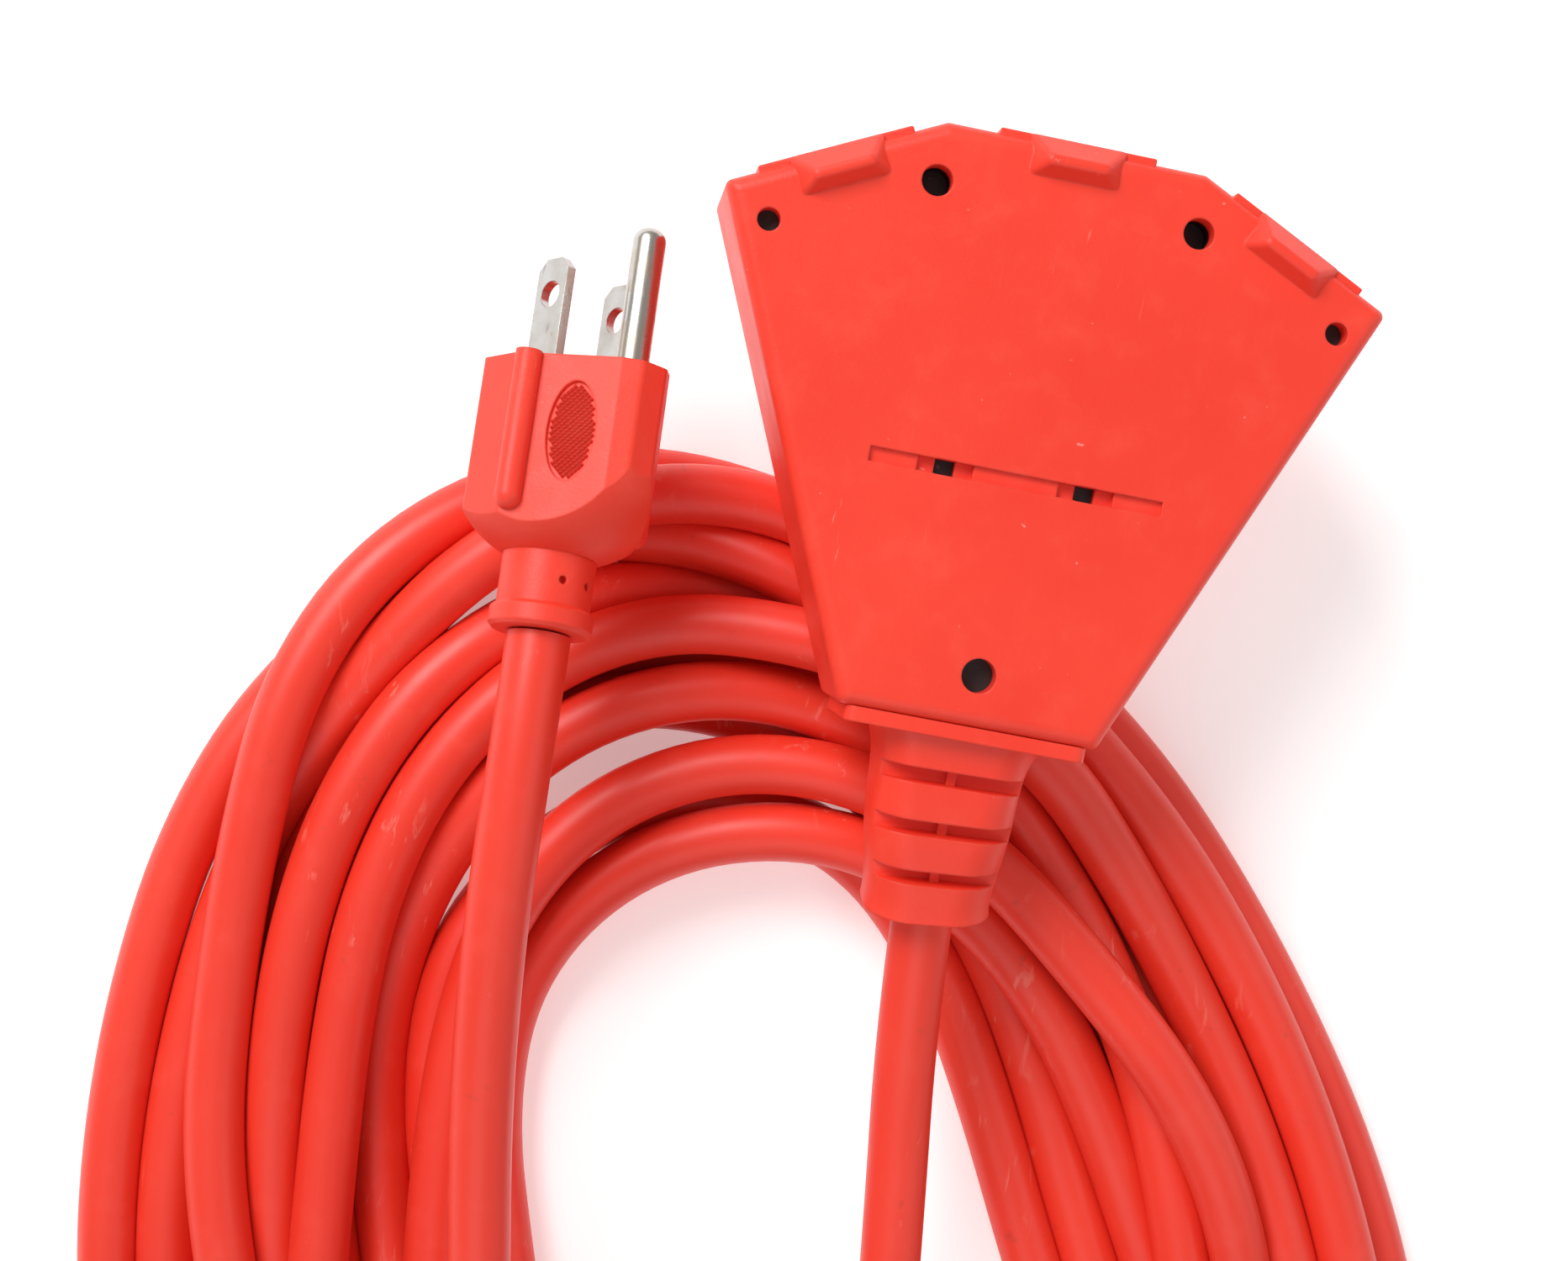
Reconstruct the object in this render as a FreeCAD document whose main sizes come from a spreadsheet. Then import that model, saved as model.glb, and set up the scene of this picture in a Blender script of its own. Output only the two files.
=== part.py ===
import FreeCAD, Part
import math, os
import Sketcher
from FreeCAD import Vector as V, Placement, Rotation

# Three-outlet outdoor extension cord: fan-shaped outlet block with a ribbed neck,
# a coiled round three-conductor cord, and a moulded grounding plug.
# Millimetres, +Z up, +Y out of the centre outlet, origin at the mouth of the
# centre outlet's ground bore. The coil lies flat on the floor under the block.

doc = FreeCAD.newDocument("extension_cord")
sheet = doc.addObject("Spreadsheet::Sheet", "Sheet")
CELLS = [
    ("half_base", 18.6), ("half_top", 18.6), ("half_wide", 47.8),
    ("fan_len", 82.4), ("wide_at", 68.2), ("fan_thick", 28.0),
    ("face_proud", 0.8), ("face_width", 22.5), ("rim_round", 2.2),
    ("corner_wide", 1.1), ("corner_top", 1.2), ("corner_base", 1.1),
    ("skin_side", 2.8), ("skin_face", 2.6), ("skin_flat", 3.4), ("skin_base", 3.6),
    ("core_split", 14.8), ("slot_row", 8.6), ("ground_row", 20.5),
    ("blade_pitch", 12.7), ("ground_bore", 2.8), ("slot_thick", 2.0),
    ("hot_slot", 7.0), ("neutral_slot", 8.4),
    ("vent_small", 1.63), ("vent_big", 2.2), ("vent_low", 2.45),
    ("mound_rise", 2.7), ("recess_at", 35.0), ("recess_long", 42.0),
    ("recess_wide", 2.1), ("recess_deep", 0.8),
    ("strip_gauge", 0.8), ("strip_width", 5.0), ("leaf_gauge", 0.5),
    ("crimp_outer", 2.2), ("wire_outer", 1.45),
    ("neck_wide", 24.0), ("neck_end_wide", 18.8), ("neck_len", 25.4), ("lip_len", 2.2),
    ("cord_dia", 9.27), ("coil_high", 25.3), ("rest_gap", 0.3),
    ("coil_out_major", 160.0), ("coil_out_minor", 101.0), ("coil_in_major", 88.0), ("coil_in_minor", 42.0),
    ("coil_tilt", 25.4), ("coil_round", 12.0),
    ("plug_len", 27.0), ("plug_half", 12.4), ("plug_neck_rad", 6.75), ("plug_neck_len", 7.5),
    ("ring_rad", 7.5), ("ring_len", 3.4),
    ("blade_out", 15.9), ("blade_wide", 6.35), ("blade_thick", 1.5), ("blade_hole", 2.0),
    ("pin_out", 20.8), ("pin_rad", 2.38), ("ground_offset", 11.9),
]
for row, (alias, value) in enumerate(CELLS, start=1):
    sheet.set("A%d" % row, alias)
    sheet.set("B%d" % row, str(value))
    sheet.setAlias("B%d" % row, alias)
doc.recompute()


def S(name):
    return float(getattr(sheet, name))


NODES = []
FAN_Z = S("ground_row")                       # block frame: z = 0 on its front face
LIFT = S("coil_high") + S("rest_gap")         # front face above the floor


def keep(obj, label):
    obj.Label = label
    NODES.append(obj)
    return obj


def fan_place(obj):
    """Stand a part built in the block's own frame in the shared frame."""
    obj.setExpression("Placement.Base.y", "-(Sheet.fan_len + Sheet.face_proud)")
    obj.setExpression("Placement.Base.z", "-Sheet.ground_row")
    return obj


FAN_BASE = V(0, -(S("fan_len") + S("face_proud")), -S("ground_row"))
FLOOR_BASE = V(0, FAN_BASE.y, -S("ground_row") - LIFT)


def feature(label, shape, base=None, rot=None, final=True):
    o = doc.addObject("Part::Feature", "f_" + label)
    own = shape.Placement
    o.Shape = shape
    o.Placement = Placement(base or V(), rot or Rotation()).multiply(own)
    if final:
        keep(o, label)
    else:
        o.Label = label
    return o


def plane_of(body, role):
    return [f for f in body.Origin.OriginFeatures if f.Role == role][0]


def sketch_on(body, name, role="XY_Plane", off=None, off_expr=None):
    sk = body.newObject("Sketcher::SketchObject", name)
    sk.AttachmentSupport = [(plane_of(body, role), "")]
    sk.MapMode = "FlatFace"
    if off is not None:
        sk.AttachmentOffset = Placement(V(0, 0, off), Rotation())
    if off_expr:
        sk.setExpression("AttachmentOffset.Base.z", off_expr)
    return sk


def poly(sk, pts, exprs=None):
    """Closed polygon in a sketch; each corner may be driven by two expressions."""
    n = len(pts)
    first = sk.GeometryCount
    for i in range(n):
        a, b = pts[i], pts[(i + 1) % n]
        sk.addGeometry(Part.LineSegment(V(a[0], a[1], 0), V(b[0], b[1], 0)), False)
    for i in range(n):
        sk.addConstraint(Sketcher.Constraint("Coincident", first + i, 2, first + (i + 1) % n, 1))
    if exprs:
        for i, (ex, ey) in enumerate(exprs):
            cx = sk.addConstraint(Sketcher.Constraint("DistanceX", -1, 1, first + i, 1, pts[i][0]))
            cy = sk.addConstraint(Sketcher.Constraint("DistanceY", -1, 1, first + i, 1, pts[i][1]))
            if ex:
                sk.setExpression("Constraints[%d]" % cx, ex)
            if ey:
                sk.setExpression("Constraints[%d]" % cy, ey)


def body_new(name):
    return doc.addObject("PartDesign::Body", name)


def pad_body(name, pts, z0, length, z0_expr=None, len_expr=None, exprs=None, role="XY_Plane"):
    b = body_new(name)
    sk = sketch_on(b, name + "_sk", role, z0, z0_expr)
    poly(sk, pts, exprs)
    p = b.newObject("PartDesign::Pad", name + "_pad")
    p.Profile = sk
    p.Length = length
    if len_expr:
        p.setExpression("Length", len_expr)
    b.Tip = p
    return b


def offset_poly(pts, dist):
    """Move each edge of an anticlockwise polygon inward by its own distance."""
    n = len(pts)
    lines = []
    for i in range(n):
        a, b = pts[i], pts[(i + 1) % n]
        dx, dy = b[0] - a[0], b[1] - a[1]
        L = math.hypot(dx, dy)
        nx, ny = -dy / L, dx / L
        lines.append(((a[0] + nx * dist[i], a[1] + ny * dist[i]), (dx / L, dy / L)))
    out = []
    for i in range(n):
        (p, d), (q, e) = lines[i - 1], lines[i]
        det = d[0] * e[1] - d[1] * e[0]
        s = ((q[0] - p[0]) * e[1] - (q[1] - p[1]) * e[0]) / det
        out.append((p[0] + s * d[0], p[1] + s * d[1]))
    return out


def prism(pts, z0, z1):
    w = Part.makePolygon([V(x, y, z0) for x, y in pts] + [V(pts[0][0], pts[0][1], z0)])
    return Part.Face(w).extrude(V(0, 0, z1 - z0))


def box(x0, x1, y0, y1, z0, z1):
    return Part.makeBox(x1 - x0, y1 - y0, z1 - z0, V(x0, y0, z0))


def ribbon(path, width):
    """Flat strip outline of constant width along a polyline (mitred corners)."""
    n = len(path)
    left, right = [], []
    for i in range(n):
        if i == 0:
            d = (path[1][0] - path[0][0], path[1][1] - path[0][1])
            L = math.hypot(*d)
            m = (-d[1] / L, d[0] / L)
            k = 1.0
        elif i == n - 1:
            d = (path[-1][0] - path[-2][0], path[-1][1] - path[-2][1])
            L = math.hypot(*d)
            m = (-d[1] / L, d[0] / L)
            k = 1.0
        else:
            d0 = (path[i][0] - path[i - 1][0], path[i][1] - path[i - 1][1])
            d1 = (path[i + 1][0] - path[i][0], path[i + 1][1] - path[i][1])
            l0, l1 = math.hypot(*d0), math.hypot(*d1)
            n0 = (-d0[1] / l0, d0[0] / l0)
            n1 = (-d1[1] / l1, d1[0] / l1)
            m = (n0[0] + n1[0], n0[1] + n1[1])
            L = math.hypot(*m)
            m = (m[0] / L, m[1] / L)
            k = 1.0 / (m[0] * n0[0] + m[1] * n0[1])
        h = width / 2.0 * k
        left.append((path[i][0] + m[0] * h, path[i][1] + m[1] * h))
        right.append((path[i][0] - m[0] * h, path[i][1] - m[1] * h))
    return right + left[::-1]


def tube(points, radius, report=None):
    """Round rod along straight runs joined by tangent arcs."""
    P = [V(*p) for p in points]
    edges, radii = [], []
    start = P[0]
    for i in range(1, len(P) - 1):
        a, b = P[i] - P[i - 1], P[i + 1] - P[i]
        la, lb = a.Length, b.Length
        a.normalize()
        b.normalize()
        turn = a.getAngle(b)
        cut = 0.45 * min(la, lb)
        r = cut / math.tan(turn / 2)
        radii.append(r)
        t0 = P[i] - a * cut
        t1 = P[i] + b * cut
        bis = b - a
        bis.normalize()
        centre = P[i] + bis * (r / math.cos(turn / 2))
        mid = centre - bis * r
        edges.append(Part.LineSegment(start, t0).toShape())
        edges.append(Part.Arc(t0, mid, t1).toShape())
        start = t1
    edges.append(Part.LineSegment(start, P[-1]).toShape())
    wire = Part.Wire(edges)
    d = (P[1] - P[0])
    circle = Part.Wire([Part.makeCircle(radius, P[0], d)])
    solid = wire.makePipeShell([circle], True, False)
    if solid.Volume < 0:
        solid.reverse()
    want = math.pi * radius ** 2 * wire.Length
    if report:
        print(report, "length %.1f" % wire.Length, "radii", [round(x, 1) for x in radii],
              "volume ratio %.4f" % (solid.Volume / want))
    return solid, wire.Length


# ------------------------------------------------------------------ outlet block
hb, ht, hw, fl, wa, T = (S(k) for k in ("half_base", "half_top", "half_wide", "fan_len", "wide_at", "fan_thick"))
OUTLINE = [(-hb, 0), (hb, 0), (hw, wa), (ht, fl), (-ht, fl), (-hw, wa)]
OUT_EXPR = [("-Sheet.half_base", None), ("Sheet.half_base", None), ("Sheet.half_wide", "Sheet.wide_at"),
            ("Sheet.half_top", "Sheet.fan_len"), ("-Sheet.half_top", "Sheet.fan_len"),
            ("-Sheet.half_wide", "Sheet.wide_at")]

# outlet frames: P on the facet, w across, n outward (seen from the flat back, left to right)
ex, ey = hw - ht, wa - fl
eL = math.hypot(ex, ey)
FACETS = {
    "left": ((-(hw + ht) / 2, (wa + fl) / 2), (ex / eL, -ey / eL), (ey / eL, ex / eL)),
    "centre": ((0.0, fl), (1.0, 0.0), (0.0, 1.0)),
    "right": (((hw + ht) / 2, (wa + fl) / 2), (ex / eL, ey / eL), (-ey / eL, ex / eL)),
}


def at(k, w, n):
    P, W, N = FACETS[k]
    return (P[0] + W[0] * w + N[0] * n, P[1] + W[1] * w + N[1] * n)


def facet_box(k, w0, w1, n0, n1, z0, z1):
    return prism([at(k, w0, n0), at(k, w1, n0), at(k, w1, n1), at(k, w0, n1)], z0, z1)


def facet_rot(k):
    W = FACETS[k][1]
    return Rotation(V(0, 0, 1), math.degrees(math.atan2(W[1], W[0])))


blank = body_new("overmould_blank")
sk = sketch_on(blank, "overmould_outline")
poly(sk, OUTLINE, OUT_EXPR)
pad = blank.newObject("PartDesign::Pad", "overmould_pad")
pad.Profile = sk
pad.Length = T
pad.setExpression("Length", "Sheet.fan_thick")
doc.recompute()


def upright(shape, pts, tol=0.4):
    names = []
    for i, e in enumerate(shape.Edges):
        a, b = e.Vertexes[0].Point, e.Vertexes[-1].Point
        if abs(a.x - b.x) < 1e-3 and abs(a.y - b.y) < 1e-3 and abs(a.z - b.z) > 5:
            if any(math.hypot(a.x - p[0], a.y - p[1]) < tol for p in pts):
                names.append("Edge%d" % (i + 1))
    return names


base = pad
for nm, pts, alias in (("wide_corners", [OUTLINE[2], OUTLINE[5]], "corner_wide"),
                       ("top_corners", [OUTLINE[3], OUTLINE[4]], "corner_top"),
                       ("base_corners", [OUTLINE[0], OUTLINE[1]], "corner_base")):
    f = blank.newObject("PartDesign::Fillet", nm)
    f.Base = (base, upright(base.Shape, pts))
    f.Radius = S(alias)
    f.setExpression("Radius", "Sheet." + alias)
    doc.recompute()
    base = f
rim = []
for i, e in enumerate(base.Shape.Edges):
    zs = [v.Point.z for v in e.Vertexes]
    if all(abs(z - T) < 1e-4 for z in zs) or all(abs(z) < 1e-4 for z in zs):
        rim.append("Edge%d" % (i + 1))
f = blank.newObject("PartDesign::Fillet", "rim")
f.Base = (base, rim)
f.Radius = S("rim_round")
f.setExpression("Radius", "Sheet.rim_round")
blank.Tip = f
doc.recompute()

# outlet face strips and the rounded mound behind each ground hole
fw = S("face_width") / 2
extra = []
for k in FACETS:
    s = facet_box(k, -fw, fw, -1.5, S("face_proud"), 1.6, T - 1.2)
    try:
        s = s.makeFillet(0.35, [e for e in s.Edges if e.Length > 5])
    except Exception:
        pass
    extra.append(feature("face_strip_" + k, s, final=False))
    lo = [at(k, -7.4, -5.6), at(k, 7.4, -5.6), at(k, 6.9, 0.75), at(k, -6.9, 0.75)]
    hi = [at(k, -4.2, -3.4), at(k, 4.2, -3.4), at(k, 4.2, -2.3), at(k, -4.2, -2.3)]
    z0, z1 = T - 1.0, T + S("mound_rise")
    wl = Part.makePolygon([V(x, y, z0) for x, y in lo + lo[:1]])
    wh = Part.makePolygon([V(x, y, z1) for x, y in hi + hi[:1]])
    m = Part.makeLoft([wl, wh], True, True)
    try:
        m = m.makeFillet(0.9, [e for e in m.Edges if max(v.Point.z for v in e.Vertexes) > z1 - 0.01])
    except Exception as err:
        print("mound fillet", err)
    extra.append(feature("mound_" + k, m, final=False))
fuse = doc.addObject("Part::MultiFuse", "overmould_fused")
fuse.Shapes = [blank] + extra
doc.recompute()

# everything removed from the overmould
skin = [S("skin_base"), S("skin_side"), S("skin_face"), S("skin_face"), S("skin_face"), S("skin_side")]
CORE = offset_poly(OUTLINE, skin)
zf, zb, zs = S("skin_flat"), T - S("skin_flat"), S("core_split")
row, grow = S("slot_row"), S("ground_row")
half = S("blade_pitch") / 2
slots, bores, contact_room, ground_room = [], [], [], []
st = S("slot_thick") / 2
for k in FACETS:
    for s_, hgt in ((-1, S("hot_slot") / 2), (1, S("neutral_slot") / 2)):
        slots.append(facet_box(k, s_ * half - st, s_ * half + st, -8.6, 2.0, row - hgt, row + hgt))
        contact_room.append(facet_box(k, s_ * half - 2.2, s_ * half + 2.2, -23.4, -8.5, 4.2, 13.0))
    p = at(k, 0, 2.0)
    N = FACETS[k][2]
    bores.append(Part.makeCylinder(S("ground_bore"), 12.0, V(p[0], p[1], grow), V(-N[0], -N[1], 0)))
    ground_room.append(facet_box(k, -3.3, 3.3, -23.0, -9.9, 17.5, 23.7))

cutters = [prism(CORE, zf, zb)] + slots + bores
for x, y, r, d in ((40.8, 64.0, S("vent_small"), 3.6), (18.8, 73.9, S("vent_big"), 3.6), (0.0, 7.3, S("vent_low"), 3.6)):
    for sx in ((1, -1) if x else (1,)):
        cutters.append(Part.makeCylinder(r, d, V(sx * x, y, T - d + 0.2)))
ry, rl, rw, rd = S("recess_at"), S("recess_long") / 2, S("recess_wide") / 2, S("recess_deep")
cutters.append(box(-rl, rl, ry - rw, ry + rw, T - rd, T + 1))
for sx in (-1, 1):
    cutters.append(box(sx * 10.1 - 4, sx * 10.1 + 4, ry - rw, ry + rw, T - 1.9, T + 1))
    cutters.append(box(sx * 10.1 - 1.45, sx * 10.1 + 1.45, ry - 1.1, ry + 1.1, T - 3.6, T + 1))
cutters.append(Part.makeCylinder(7.2, 6.0, V(0, -1.0, T / 2 - 1.0), V(0, 1, 0)))
tool = feature("overmould_cutters", Part.Compound(cutters), final=False)
cut = doc.addObject("Part::Cut", "overmould_cut")
cut.Base = fuse
cut.Tool = tool
fan_place(cut)
keep(cut, "outlet_overmould")
doc.recompute()
print("overmould volume", round(cut.Shape.Volume, 1), "solids", len(cut.Shape.Solids))

# ------------------------------------------------ bus strips, contacts, crimps, wires
g, lg = S("strip_gauge"), S("leaf_gauge")
low0, low1 = 4.2, 4.2 + g            # line strip
up0, up1 = 12.2, 12.2 + g            # neutral strip
gr1 = 17.5
gr0 = gr1 - g                        # ground strip
end_y = 27.0
line_path = [at("left", -half, -22.6), at("centre", -half, -22.6), at("right", -half, -22.6)]
neut_path = [at("left", half, -22.6), at("centre", half, -22.6), at("right", half, -22.6)]
grnd_path = [at("left", 0, -18), at("centre", 0, -18), at("right", 0, -18)]


def strip_body(name, path, tail_x, z0):
    sw = S("strip_width")
    main = pad_body(name + "_run", ribbon(path, sw), z0, g, len_expr="Sheet.strip_gauge")
    c = path[1]
    tail = pad_body(name + "_tail", ribbon([(tail_x, end_y), (tail_x, c[1])], 4.0), z0, g,
                    len_expr="Sheet.strip_gauge")
    u = doc.addObject("Part::MultiFuse", name + "_fuse")
    u.Shapes = [main, tail]
    u.Refine = True
    fan_place(u)
    return keep(u, name)


strip_body("line_bus_strip", line_path, -half, low0)
strip_body("neutral_bus_strip", neut_path, half, up0)
strip_body("ground_bus_strip", grnd_path, 0.0, gr0)

U_PROFILE = [(-1.25, -22.5), (1.25, -22.5), (1.25, -10.0), (0.75, -10.0), (0.75, -22.0),
             (-0.75, -22.0), (-0.75, -10.0), (-1.25, -10.0)]
for k in FACETS:
    for s_, nm, z0, z1 in ((-1, "line", low1, 11.6), (1, "neutral", 5.6, up0)):
        b = pad_body("%s_contact_%s" % (nm, k), U_PROFILE, 0.0, z1 - z0)
        q = at(k, s_ * half, 0)
        b.Placement = Placement(V(q[0], q[1], z0) + FAN_BASE, facet_rot(k))
        keep(b, "%s_contact_%s" % (nm, k))
    G_PROFILE = [(-3.0, 0.0), (3.0, 0.0), (3.0, 5.7), (2.5, 5.7), (2.5, 0.5), (-2.5, 0.5), (-2.5, 5.7), (-3.0, 5.7)]
    b = body_new("ground_contact_%s" % k)
    sk = sketch_on(b, "ground_contact_sk_%s" % k, "XZ_Plane")
    poly(sk, G_PROFILE)
    p = b.newObject("PartDesign::Pad", "ground_contact_pad_%s" % k)
    p.Profile = sk
    p.Length = 12.0
    b.Tip = p
    doc.recompute()
    ys = b.Shape.BoundBox
    shift = -22.0 - ys.YMin
    q = at(k, 0, shift)
    b.Placement = Placement(V(q[0], q[1], gr1) + FAN_BASE, facet_rot(k))
    keep(b, "ground_contact_%s" % k)

CRIMPS = (("line", -half, low0 + S("crimp_outer")), ("neutral", half, up1 - S("crimp_outer")),
          ("ground", 0.0, gr0 + S("crimp_outer")))
for nm, x, z in CRIMPS:
    outer = doc.addObject("Part::Cylinder", nm + "_crimp_outer")
    inner = doc.addObject("Part::Cylinder", nm + "_crimp_bore")
    outer.Height = inner.Height = 6.6
    outer.setExpression("Radius", "Sheet.crimp_outer")
    inner.setExpression("Radius", "Sheet.wire_outer")
    for c in (outer, inner):
        c.Placement = Placement(V(x, end_y, z), Rotation(V(1, 0, 0), 90))
    ring = doc.addObject("Part::Cut", nm + "_crimp_cut")
    ring.Base = outer
    ring.Tool = inner
    fan_place(ring)
    keep(ring, nm + "_crimp")

# the neck sags: its axis runs from the lip at 0 degrees to about 16 degrees down
neck_len, lip = S("neck_len"), S("lip_len")
STATIONS = []
steps = 8
y, z, x, ang = -lip, T / 2, 0.0, 0.0
ds = neck_len / steps
STATIONS.append((x, y, z, 0.0, 0.0))
for i in range(steps):
    ang = math.radians(16.5) * (i + 0.5) / steps
    yaw = math.radians(5.5) * (i + 0.5) / steps
    y -= ds * math.cos(ang)
    z -= ds * math.sin(ang)
    x += ds * math.sin(yaw)
    STATIONS.append((x, y, z, math.radians(16.5) * (i + 1) / steps, math.radians(5.5) * (i + 1) / steps))
NECK_END = STATIONS[-1]
ne = V(NECK_END[0], NECK_END[1], NECK_END[2])
ndir = V(math.sin(NECK_END[4]) * math.cos(NECK_END[3]), -math.cos(NECK_END[4]) * math.cos(NECK_END[3]),
         -math.sin(NECK_END[3]))
ndir.normalize()


def rounded(w, h_, r, st_):
    """Rounded rectangle wire standing square to the neck axis at a station."""
    a, b = w / 2, h_ / 2
    c = r * (1 - math.sqrt(0.5))
    P = [(-a + r, -b), (a - r, -b), (a, -b + r), (a, b - r), (a - r, b), (-a + r, b), (-a, b - r), (-a, -b + r)]
    M = [(a - c, -b + c), (a - c, b - c), (-a + c, b - c), (-a + c, -b + c)]
    x0, y0, z0, down, yaw = st_
    rot = Rotation(V(0, 0, 1), math.degrees(yaw)).multiply(Rotation(V(1, 0, 0), math.degrees(down)))

    def q(p):
        return V(x0, y0, z0) + rot.multVec(V(p[0], 0, p[1]))
    ed = []
    for i in range(4):
        ed.append(Part.LineSegment(q(P[2 * i]), q(P[2 * i + 1])).toShape())
        ed.append(Part.Arc(q(P[2 * i + 1]), q(M[i]), q(P[(2 * i + 2) % 8])).toShape())
    return Part.Wire(ed)


secs = []
for i in (0, 1, 3, 5, 8):
    t_ = i / steps
    w = 22.4 + (S("neck_end_wide") - 22.4) * t_ + (1.8 if i == 0 else 0.0)
    h_ = 20.0 + (16.8 - 20.0) * t_ + (1.4 if i == 0 else 0.0)
    secs.append(rounded(w, h_, 5.4 + 1.6 * t_, STATIONS[i]))
neck = Part.makeLoft(secs, True, False)
lipbox = box(-hb + 1.2, hb - 1.2, -lip - 0.001, 0.0, 1.2, T - 1.2)
try:
    lipbox = lipbox.makeFillet(1.6, [e for e in lipbox.Edges if abs(e.Vertexes[0].Point.y - e.Vertexes[-1].Point.y) > 1])
except Exception:
    pass
neck = neck.fuse(lipbox)
# three flex slots across the back and the front, each broken by a low web
for s_at in (5.3, 12.1, 18.9):
    i = s_at / ds
    i0 = int(i)
    a, b = STATIONS[i0], STATIONS[min(i0 + 1, steps)]
    f_ = i - i0
    st_ = tuple(a[j] + (b[j] - a[j]) * f_ for j in range(5))
    rot = Rotation(V(0, 0, 1), math.degrees(st_[4])).multiply(Rotation(V(1, 0, 0), math.degrees(st_[3])))
    hh = (20.0 - 3.2 * s_at / neck_len) / 2
    for side in (1, -1):
        z0, z1 = (hh - 3.6, hh + 3) if side > 0 else (-hh - 3, -hh + 3.6)
        wz0, wz1 = (hh - 2.6, hh + 3) if side > 0 else (-hh - 3, -hh + 2.6)
        for bx in (box(-13, -0.7, -1.1, 1.1, z0, z1), box(0.7, 13, -1.1, 1.1, z0, z1),
                   box(-0.8, 0.8, -1.1, 1.1, wz0, wz1)):
            bx.Placement = Placement(V(st_[0], st_[1], st_[2]), rot)
            neck = neck.cut(bx)

# three insulated conductors from the crimps through the lip and neck to the cord
fan_wires = []
e1 = V(1, 0, 0)
side_v = ndir.cross(V(0, 0, 1))
side_v.normalize()
up_v = side_v.cross(ndir)
for nm, x, z in CRIMPS:
    phi = {"line": 210, "neutral": -30, "ground": 90}[nm]
    c_, s_ = math.cos(math.radians(phi)) * 1.72, math.sin(math.radians(phi)) * 1.72
    sx = -c_ if side_v.x < 0 else c_
    tip = ne + side_v * sx + up_v * s_
    mid = V(tip.x * 0.35 + c_ * 0.65, -lip - 4.0, T / 2 + s_ - 0.4)
    pts = [(x, end_y - 0.8, z), (x, 15.0, z), (mid.x, mid.y, mid.z), (tip.x, tip.y, tip.z)]
    solid, L = tube(pts, S("wire_outer"))
    fan_wires.append((nm, solid))
wires_all = Part.Compound([w[1] for w in fan_wires])
neck = neck.cut(wires_all)
if len(neck.Solids) == 1:
    neck = neck.Solids[0]
print("neck volume", round(neck.Volume, 1), "solids", len(neck.Solids), "valid", neck.isValid())
feature("outlet_strain_relief", neck, FAN_BASE)
for nm, solid in fan_wires:
    feature(nm + "_wire_outlet_end", solid, FAN_BASE)

# black core: two halves clamped round the metalwork
strips = []
for path, tx, z0 in ((line_path, -half, low0), (neut_path, half, up0), (grnd_path, 0.0, gr0)):
    strips.append(prism(ribbon(path, S("strip_width") + 0.2), z0, z0 + g))
    strips.append(prism(ribbon([(tx, end_y - 1), (tx, path[1][1])], 4.2), z0, z0 + g))
front_cut = contact_room + slots + strips + [box(-9.6, 9.6, 2.0, end_y + 0.1, zf + 0.6, zs + 1)]
rear_cut = ground_room + bores + strips + [box(-5.2, 5.2, 2.0, end_y + 0.1, zs - 1, 21.4)]
for x, y, r, d in ((18.8, 73.9, S("vent_big"), 2.8),):
    for sx in (1, -1):
        rear_cut.append(Part.makeCylinder(r, d + 1, V(sx * x, y, zb - d)))
for nm, z0, z1, cutlist, e0, e1_ in (("core_front_half", zf, zs, front_cut, "Sheet.skin_flat", "Sheet.core_split - Sheet.skin_flat"),
                                     ("core_rear_half", zs, zb, rear_cut, "Sheet.core_split",
                                      "Sheet.fan_thick - Sheet.skin_flat - Sheet.core_split")):
    b = pad_body(nm + "_blank", CORE, z0, z1 - z0, z0_expr=e0, len_expr=e1_)
    t_ = feature(nm + "_cutters", Part.Compound(cutlist), final=False)
    c = doc.addObject("Part::Cut", nm + "_cut")
    c.Base = b
    c.Tool = t_
    fan_place(c)
    keep(c, nm)
doc.recompute()

# ------------------------------------------------------------------ plug
face = V(-63.04, 38.58, 34.95)
tail = V(-61.46, 1.59, 42.6)
d_ = face - tail
d_.normalize()
b_ = V(0.63, 0, 0.78)
b_ = b_ - d_ * (b_ * d_)
b_.normalize()
a_ = d_.cross(b_)
PLUG_ROT = Rotation(a_, d_, b_, "XYZ")
PLUG_BASE = face + FLOOR_BASE
pl, ph = S("plug_len"), S("plug_half")
pnr, pnl, rr, rl_ = S("plug_neck_rad"), S("plug_neck_len"), S("ring_rad"), S("ring_len")
PLUG_END = -(pl + pnl + rl_)
tail = face + d_ * PLUG_END
SECTION = [(-ph, -6.5), (ph, -6.5), (ph, 2.2), (10.6, 4.6), (4.6, 15.0), (2.2, 17.0), (-2.2, 17.0), (-4.6, 15.0),
           (-10.6, 4.6), (-ph, 2.2)]
SEC_EXPR = [("-Sheet.plug_half", None), ("Sheet.plug_half", None), ("Sheet.plug_half", None)] + [(None, None)] * 6 + [("-Sheet.plug_half", None)]
pb = body_new("plug_bar")
sk = sketch_on(pb, "plug_section", "XZ_Plane")
poly(sk, SECTION, SEC_EXPR)
p = pb.newObject("PartDesign::Pad", "plug_pad")
p.Profile = sk
p.Length = pl
p.setExpression("Length", "Sheet.plug_len")
pb.Tip = p
doc.recompute()
if pb.Shape.BoundBox.YMax > 1.0:
    p.Reversed = True
    doc.recompute()
edges = []
for i, e in enumerate(p.Shape.Edges):
    a, b = e.Vertexes[0].Point, e.Vertexes[-1].Point
    if abs(a.y - b.y) > 5:
        edges.append("Edge%d" % (i + 1))
f = pb.newObject("PartDesign::Fillet", "plug_long_edges")
f.Base = (p, edges)
f.Radius = 1.1
pb.Tip = f
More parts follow.
